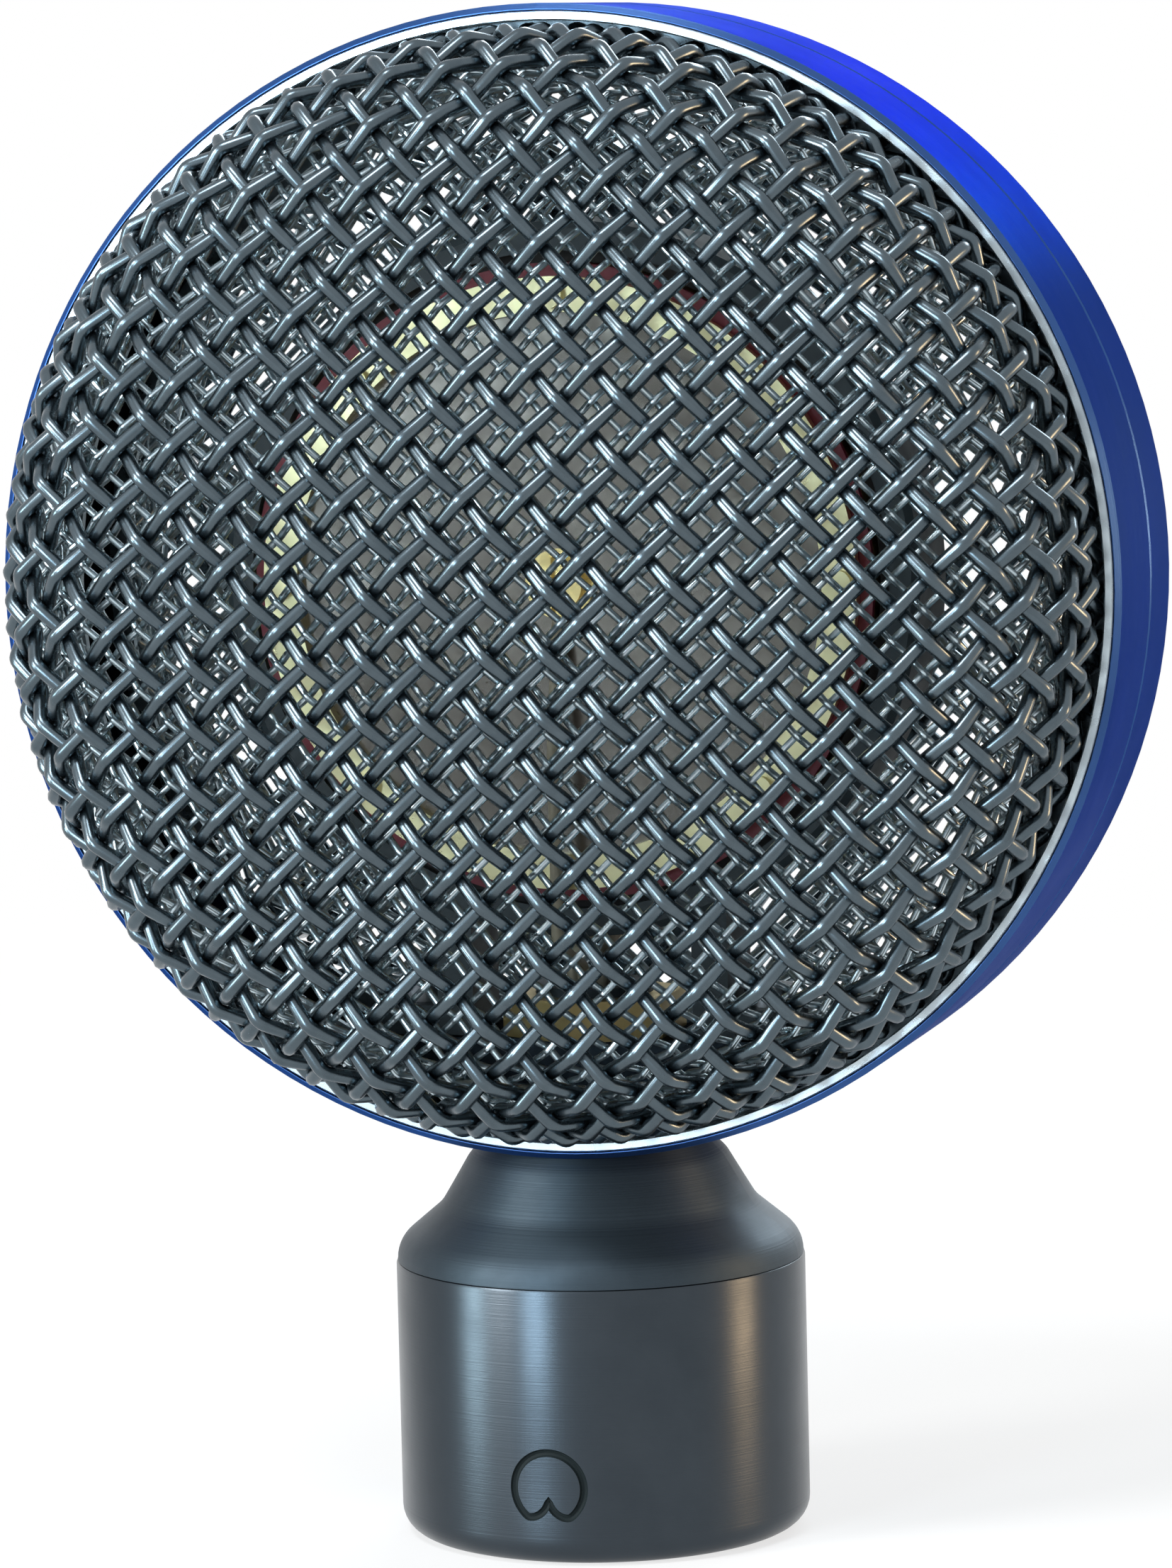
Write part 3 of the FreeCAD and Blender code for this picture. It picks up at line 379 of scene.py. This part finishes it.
def woven_dome(name, side, inset, foot, wire, spacings, slant, start, steps, sides):
    """A plain weave of round wires laid over the dome. The spacings are those of the wires that
    rise to the right and of those that fall, and start is where two of them cross."""
    rise = np.array((math.cos(slant), math.sin(slant)))
    fall = np.array((math.sin(slant), -math.cos(slant)))
    limit = dome_run(inset, foot)
    points, faces, base = [], [], 0
    for family in (0, 1):
        along, across = (rise, fall) if family == 0 else (fall, rise)
        apart, crossing = (spacings[0], spacings[1]) if family == 0 else (spacings[1], spacings[0])
        reach = int(limit / apart) + 2
        travel = int(limit / crossing) + 2
        bend = wire * math.sin(wire_slope(wire, crossing))
        places = stations(bend / crossing, steps)
        t = (np.arange(-travel, travel)[:, None] + places[None, :]).ravel() * crossing
        rise_now = wire_wave(t, wire, crossing)
        for number in range(-reach, reach + 1):
            flat = start + across * (number * apart) + np.outer(t, along)
            over = np.hypot(flat[:, 0], flat[:, 1])
            kept = over <= limit
            if kept.sum() < 3:
                continue
            flat, over, height = flat[kept], over[kept], rise_now[kept]
            radius, depth, out, forward = dome_place(over, inset)
            heading = flat / np.maximum(over, 1e-6)[:, None]
            wave = height if (number + family) % 2 == 0 else -height
            normal = np.stack([heading[:, 0] * out, side * forward, heading[:, 1] * out], 1)
            middle = np.stack([heading[:, 0] * radius, side * depth, heading[:, 1] * radius], 1)
            middle = middle + normal * wave[:, None]
            run = np.gradient(middle, axis=0)
            run /= np.linalg.norm(run, axis=1)[:, None]
            beside = np.cross(run, normal)
            beside /= np.linalg.norm(beside, axis=1)[:, None]
            above = np.cross(beside, run)
            round_way = np.arange(sides) * (2 * math.pi / sides)
            ring = (middle[:, None, :]
                    + wire / 2 * (np.cos(round_way)[None, :, None] * above[:, None, :]
                                  + np.sin(round_way)[None, :, None] * beside[:, None, :]))
            count = len(middle)
            points.append(ring.reshape(-1, 3))
            row = base + np.arange(count - 1)[:, None] * sides
            here = row + np.arange(sides)[None, :]
            beyond = row + (np.arange(sides)[None, :] + 1) % sides
            quads = np.stack([here, beyond, beyond + sides, here + sides], -1).reshape(-1, 4)
            faces.extend(quads.tolist())
            faces.append([base + index for index in range(sides)][::-1])
            faces.append([base + (count - 1) * sides + index for index in range(sides)])
            base += count * sides
    places = np.concatenate(points) * mm + np.array(head_middle)
    mesh = bpy.data.meshes.new(name)
    mesh.from_pydata(places.tolist(), [], faces)
    mesh.update()
    made = bpy.data.objects.new(name, mesh)
    bpy.context.collection.objects.link(made)
    pick_none()
    made.select_set(True)
    bpy.context.view_layer.objects.active = made
    bpy.ops.object.shade_smooth()
    return made


def turned(name, profile, steps):
    """A turned piece: a profile of radius and height, run out point by point and spun round Z."""
    pick_none()
    bpy.ops.mesh.primitive_plane_add(size=1 * mm, location=(0, 0, 0))
    made = bpy.context.object
    made.name = name
    bpy.ops.object.mode_set(mode="EDIT")
    bpy.ops.mesh.select_mode(type="VERT")
    bpy.ops.mesh.select_all(action="SELECT")
    bpy.ops.mesh.merge(type="CENTER")
    bpy.ops.transform.translate(value=(profile[0][0] * mm, 0, profile[0][1] * mm))
    for last, point in zip(profile, profile[1:] + profile[:1]):
        step = ((point[0] - last[0]) * mm, 0, (point[1] - last[1]) * mm)
        bpy.ops.mesh.extrude_region_move(TRANSFORM_OT_translate={"value": step})
    bpy.ops.mesh.select_all(action="SELECT")
    bpy.ops.mesh.remove_doubles(threshold=0.001 * mm)
    bpy.ops.mesh.select_all(action="SELECT")
    bpy.ops.mesh.spin(steps=steps, angle=2 * math.pi, center=(0, 0, 0), axis=(0, 0, 1))
    bpy.ops.mesh.select_all(action="SELECT")
    bpy.ops.mesh.remove_doubles(threshold=0.001 * mm)
    bpy.ops.mesh.normals_make_consistent(inside=False)
    bpy.ops.object.mode_set(mode="OBJECT")
    return made


def brim(weave, side, inside, outside, low, high):
    """The flat rolled brim of a mesh, joined to its wires and turned to its side of the head."""
    corners = [(inside, low), (outside, low), (outside, high), (inside, high)]
    made = turned("brim", corners, brim_steps)
    bpy.ops.object.mode_set(mode="EDIT")
    bpy.ops.mesh.select_all(action="SELECT")
    bpy.ops.transform.rotate(value=side * math.pi / 2, orient_axis="X", center_override=(0, 0, 0))
    bpy.ops.transform.translate(value=head_middle)
    bpy.ops.mesh.normals_make_consistent(inside=False)
    bpy.ops.object.mode_set(mode="OBJECT")
    pick_none()
    made.select_set(True)
    weave.select_set(True)
    bpy.context.view_layer.objects.active = weave
    bpy.ops.object.join()


brim_steps = 128
weave_slant, rear_turn = math.radians(44.1), 0.05
weave_start = np.array((1.78, 5.54))
mesh_sides = (("front", -1, weave_slant), ("rear", 1, weave_slant + rear_turn))
coarse_wire, coarse_foot = 0.80, 4.7
coarse_spacings = (2.22, 2.44)
coarse_steps, coarse_sides = 4, 10
coarse_brim = (29.15, 30.55, 4.1, 5.1)
# The coarse wire's dark grey is a painted dark reflection. Its bright nickel is given the tone of dark
# surroundings mirrored in it, while the fine wire of the same plating keeps a bright colour.
nickel_wire = finish("nickel_wire", (0.104, 0.132, 0.150), (0.080, 0.104, 0.120), 1.0, 0.23, 0.30, 900.0)
for name, side, slant in mesh_sides:
    weave = woven_dome(f"{name}_coarse_weave", side, coarse_wire, coarse_foot, coarse_wire,
                       coarse_spacings, slant, weave_start, coarse_steps, coarse_sides)
    brim(weave, side, *coarse_brim)
    weave.data.materials.append(nickel_wire)
    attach(weave, "root")
    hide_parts(f"{name}_outer_mesh")

# The fine meshes: a second dome of thin woven wire close behind the coarse one, which stops
# dust and wind. Its wires run the same way at half the spacing.
fine_wire, fine_foot, fine_inset = 0.40, 3.9, 1.7
fine_spacings = (1.165, 1.165)
fine_steps, fine_sides = 2, 6
fine_brim = (27.6, 30.55, 3.6, 4.1)
fine_nickel_wire = finish("fine_nickel_wire", (0.56, 0.66, 0.70), (0.44, 0.52, 0.56), 1.0, 0.24, 0.34,
                          900.0)
for name, side, slant in mesh_sides:
    weave = woven_dome(f"{name}_fine_weave", side, fine_inset + fine_wire, fine_foot, fine_wire,
                       fine_spacings, slant, weave_start, fine_steps, fine_sides)
    brim(weave, side, *fine_brim)
    weave.data.materials.append(fine_nickel_wire)
    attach(weave, "root")
    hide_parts(f"{name}_inner_mesh")

# The neck: an ogee turned in nickel-plated brass, which carries the ring on the collar. It is
# satin all over, with fine lathe lines round it.
neck_metal = finish("neck_metal", (0.052, 0.070, 0.086), (0.042, 0.057, 0.070), 1.0, 0.52, 0.60, 200.0,
                    "Z", 9000.0)
dress("neck", neck_metal)

# The collar: a turned sleeve blasted to a soft satin, with a round foot, an inner thread for the
# microphone's body and a socket for the neck.
collar_radius, collar_height, collar_steps = 11.25, 15.1, 256
foot_round, foot_points = 1.5, 9
socket_radius, socket_floor, relief_radius = 9.4, 8.0, 8.9
bore_radius, bore_depth, bore_chamfer = 8.5, 6.5, 0.4
thread_top, thread_pitch, thread_turns = 6.4, 0.75, 8
ridge_height, ridge_flank, ridge_crest = 0.28, 0.3, 0.1
collar_metal = finish("collar_metal", (0.052, 0.063, 0.074), (0.043, 0.053, 0.063), 1.0, 0.30, 0.36,
                      200.0, "Z", 9000.0, 0.01)
foot_arc = [(collar_radius - foot_round + foot_round * math.sin(angle),
             foot_round - foot_round * math.cos(angle))
            for angle in np.linspace(0, math.pi / 2, foot_points)]
top_edge = [(collar_radius, 14.9), (11.2, 15.04), (11.1, collar_height)]
socket = [(socket_radius, collar_height), (socket_radius, socket_floor), (relief_radius, socket_floor),
          (relief_radius, bore_depth)]
thread = [(bore_radius, bore_depth)]
for number in range(thread_turns):
    upper = thread_top - number * thread_pitch
    thread += [(bore_radius, upper), (bore_radius + ridge_height, upper - ridge_flank),
               (bore_radius + ridge_height, upper - ridge_flank - ridge_crest),
               (bore_radius, upper - 2 * ridge_flank - ridge_crest)]
mouth = [(bore_radius, bore_chamfer), (relief_radius, 0.0)]
collar = turned("collar_sleeve", foot_arc + top_edge + socket + thread + mouth, collar_steps)
collar.data.materials.append(collar_metal)

# The engraved symbol: the usual kidney-shaped sign for a one-sided pick-up pattern, cut with a
# round-nosed cutter into the collar's front and filled with dark paint.
symbol_radius, symbol_height, symbol_turn = 1.96, 4.3, math.radians(-90.7)
notch_reach, notch_power, notch_half_angle = 0.68, 1.4, math.radians(38)
cutter_radius, cutter_place, symbol_points = 0.225, collar_radius + 0.05, 120
crease_angle = math.radians(35)
engraved_dark = finish("engraved_dark", (0.004, 0.008, 0.009), (0.008, 0.012, 0.013), 0.0, 0.6, 0.8)
engraved_dark.node_tree.nodes["Principled BSDF"].inputs["Specular IOR Level"].default_value = 0.15
collar.data.materials.append(engraved_dark)
pick_none()
bpy.ops.mesh.primitive_circle_add(vertices=symbol_points, radius=symbol_radius * mm,
                                  location=(0, 0, 0))
symbol = bpy.context.object
for point in symbol.data.vertices:
    around = math.atan2(point.co.x, -point.co.y)
    near = max(0.0, 1 - abs(around) / notch_half_angle)
    reach = symbol_radius * (1 - notch_reach * near ** notch_power)
    across, up = reach * math.sin(around), -reach * math.cos(around)
    angle = symbol_turn + across / cutter_place
    point.co = Vector((cutter_place * math.cos(angle), cutter_place * math.sin(angle),
                       symbol_height + up)) * mm
bpy.ops.object.convert(target="CURVE")
symbol.data.bevel_depth = cutter_radius * mm
symbol.data.bevel_resolution = 3
bpy.ops.object.convert(target="MESH")
symbol.data.materials.clear()
symbol.data.materials.append(engraved_dark)
cut = collar.modifiers.new("engraving", "BOOLEAN")
cut.operation = "DIFFERENCE"
cut.solver = "EXACT"
cut.use_self = True
cut.material_mode = "TRANSFER"
cut.object = symbol
pick_none()
collar.select_set(True)
bpy.context.view_layer.objects.active = collar
bpy.ops.object.modifier_apply(modifier=cut.name)
bpy.data.objects.remove(symbol)
bpy.ops.object.shade_smooth_by_angle(angle=crease_angle)
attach(collar, "root")
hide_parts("collar")

# The capsule: two perforated brass backplates, each with its film, a bright brass clamp ring with
# small screws, and a centre screw, on dark red insulating rings in a rubber-lined mount.
plate_brass = finish("plate_brass", (0.62, 0.50, 0.26), (0.50, 0.40, 0.20), 1.0, 0.30, 0.42, 300.0)
clamp_brass = finish("clamp_brass", (0.90, 0.84, 0.50), (0.80, 0.73, 0.42), 1.0, 0.25, 0.38, 300.0)
gold_film = finish("gold_film", (0.26, 0.24, 0.21), (0.20, 0.18, 0.16), 1.0, 0.20, 0.30, 150.0)
gold_contact = finish("gold_contact", (0.95, 0.78, 0.36), (0.85, 0.68, 0.30), 1.0, 0.20, 0.30, 500.0)
red_insulator = finish("red_insulator", (0.20, 0.012, 0.03), (0.14, 0.01, 0.02), 0.0, 0.35, 0.5, 300.0)
mount_plastic = finish("mount_plastic", (0.045, 0.065, 0.075), (0.035, 0.05, 0.058), 0.0, 0.45, 0.6,
                       300.0)
cushion_rubber = finish("cushion_rubber", (0.02, 0.022, 0.025), (0.03, 0.03, 0.033), 0.0, 0.7, 0.85,
                        300.0)
black_plastic = finish("black_plastic", (0.015, 0.015, 0.017), (0.022, 0.022, 0.024), 0.0, 0.5, 0.65,
                       300.0)
screw_steel = finish("screw_steel", (0.50, 0.51, 0.53), (0.40, 0.41, 0.43), 1.0, 0.3, 0.4, 300.0)
nut_brass = finish("nut_brass", (0.70, 0.55, 0.26), (0.58, 0.45, 0.2), 1.0, 0.3, 0.42, 300.0)
lead_sleeve = finish("lead_sleeve", (0.42, 0.38, 0.28), (0.36, 0.32, 0.24), 0.0, 0.5, 0.6, 300.0)
for side in ("front", "rear"):
    dress(f"{side}_backplate", plate_brass)
    dress(f"{side}_insulator_ring", red_insulator)
    dress(f"{side}_diaphragm", gold_film)
    dress(f"{side}_clamp_ring", clamp_brass)
    dress(f"{side}_clamp_screws", clamp_brass)
    dress(f"{side}_terminal_washer", gold_contact)
    dress(f"{side}_terminal", gold_contact)
dress("centre_spacer", red_insulator)
dress("capsule_mount", mount_plastic)
dress("capsule_cushion", cushion_rubber)
dress("mount_screws", screw_steel)
dress("lock_nut", nut_brass)
dress("contact_insulator", black_plastic)
dress("contact_pins", gold_contact)
for node in ("front_lead", "rear_lead", "backplate_lead"):
    dress(node, lead_sleeve)
